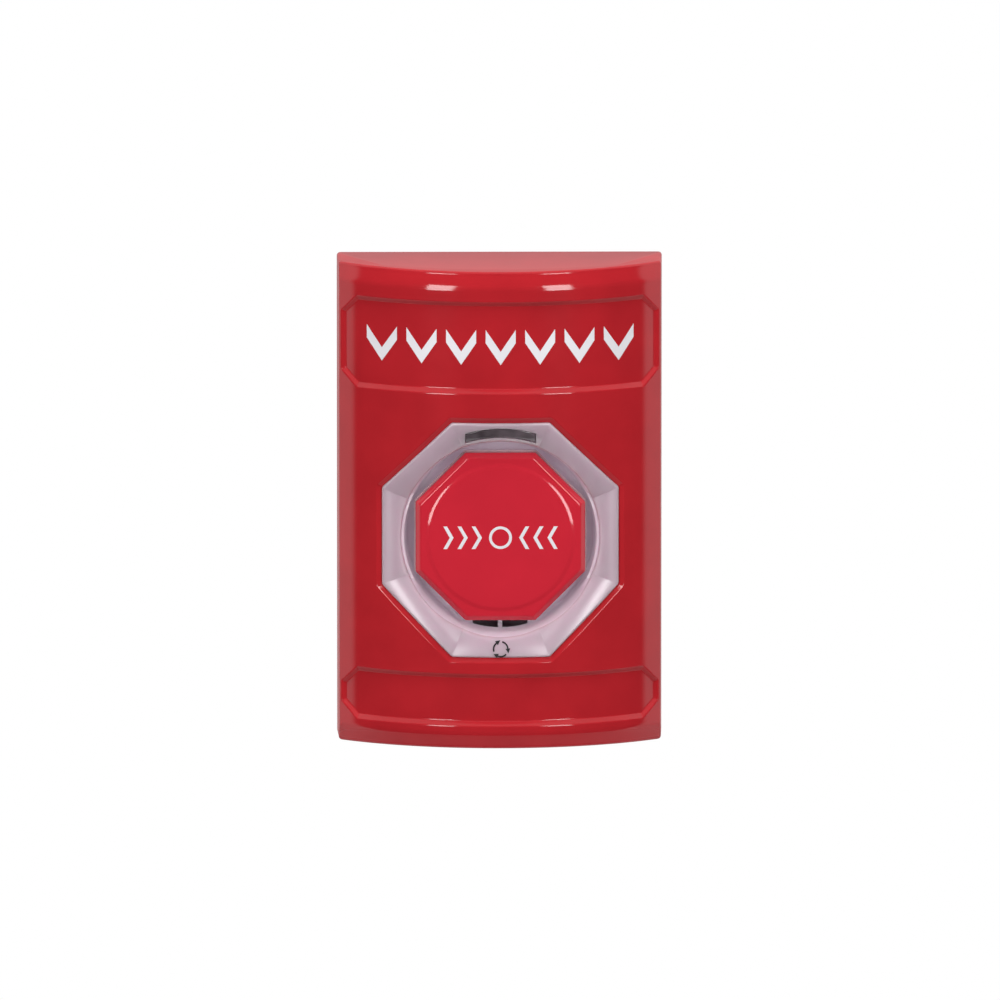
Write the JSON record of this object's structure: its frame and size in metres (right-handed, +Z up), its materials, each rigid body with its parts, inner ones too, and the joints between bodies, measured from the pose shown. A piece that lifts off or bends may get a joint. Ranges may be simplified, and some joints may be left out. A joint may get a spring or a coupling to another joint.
{
  "type": "wall-mounted emergency push button",
  "caption": "Tall red wall station with a bowed front, a low octagonal ridge and a recessed octagonal push button in a translucent bowl, latched in and reset by a turn.",
  "frame": {"origin": "midway between the two wall screw slots, on the wall plane", "axes": "+Z up along the wall, +Y into the wall so that the front faces -Y, +X to the viewer's right"},
  "size_m": [0.0826, 0.0633, 0.1238],
  "materials": {
    "red_shell": "satin moulded, fine grain",
    "red_cap": "smooth moulded",
    "white_diffuser": "smooth, milky translucent",
    "clear_ring": "clear moulded",
    "smoked_window": "smooth, smoked",
    "black_moulding": "fine grain",
    "grey_moulding": "fine grain",
    "zinc_steel": "zinc plated",
    "spring_steel": "bright",
    "brass": "plain",
    "circuit_board": "lacquered",
    "lamp_body": "moulded"
  },
  "bodies": {
    "station": {"housing_shell": "red_shell", "bezel": "white_diffuser", "indicator_lens": "smoked_window", "guide_bush": "black_moulding", "lock_nut": "black_moulding", "return_spring": "spring_steel", "latch_clip": "spring_steel", "switch_carrier": "zinc_steel", "carrier_screws": "zinc_steel", "contact_block_right": "grey_moulding", "contact_block_left": "grey_moulding", "terminal_clamps": "brass", "terminal_screws": "zinc_steel", "light_board": "circuit_board", "ring_leds": "lamp_body", "indicator_leds": "lamp_body", "board_connector": "black_moulding", "bezel_screws": "zinc_steel", "mounting_plate": "zinc_steel", "housing_screws": "zinc_steel"},
    "pusher": {"actuator_plate": "zinc_steel", "contact_plunger_right": "black_moulding", "contact_plunger_left": "black_moulding"},
    "button": {"button_cap": "red_cap", "button_skirt": "clear_ring", "button_stem": "grey_moulding", "stem_clip": "spring_steel", "stop_pin": "spring_steel"}
  },
  "joints": [
    {"name": "push", "type": "slide", "parent": "station", "child": "pusher", "axis": [0, 1, 0], "range_m": [0, 0.004], "stiffness_N_per_m": 2500, "springref_m": -0.002, "deforming": ["return_spring"]},
    {"name": "turn", "type": "hinge", "parent": "pusher", "child": "button", "pos_m": [0, 0, -0.0075], "axis": [0, 1, 0], "range_deg": [0, 40], "stiffness_Nm_per_rad": 0.05}
  ]
}
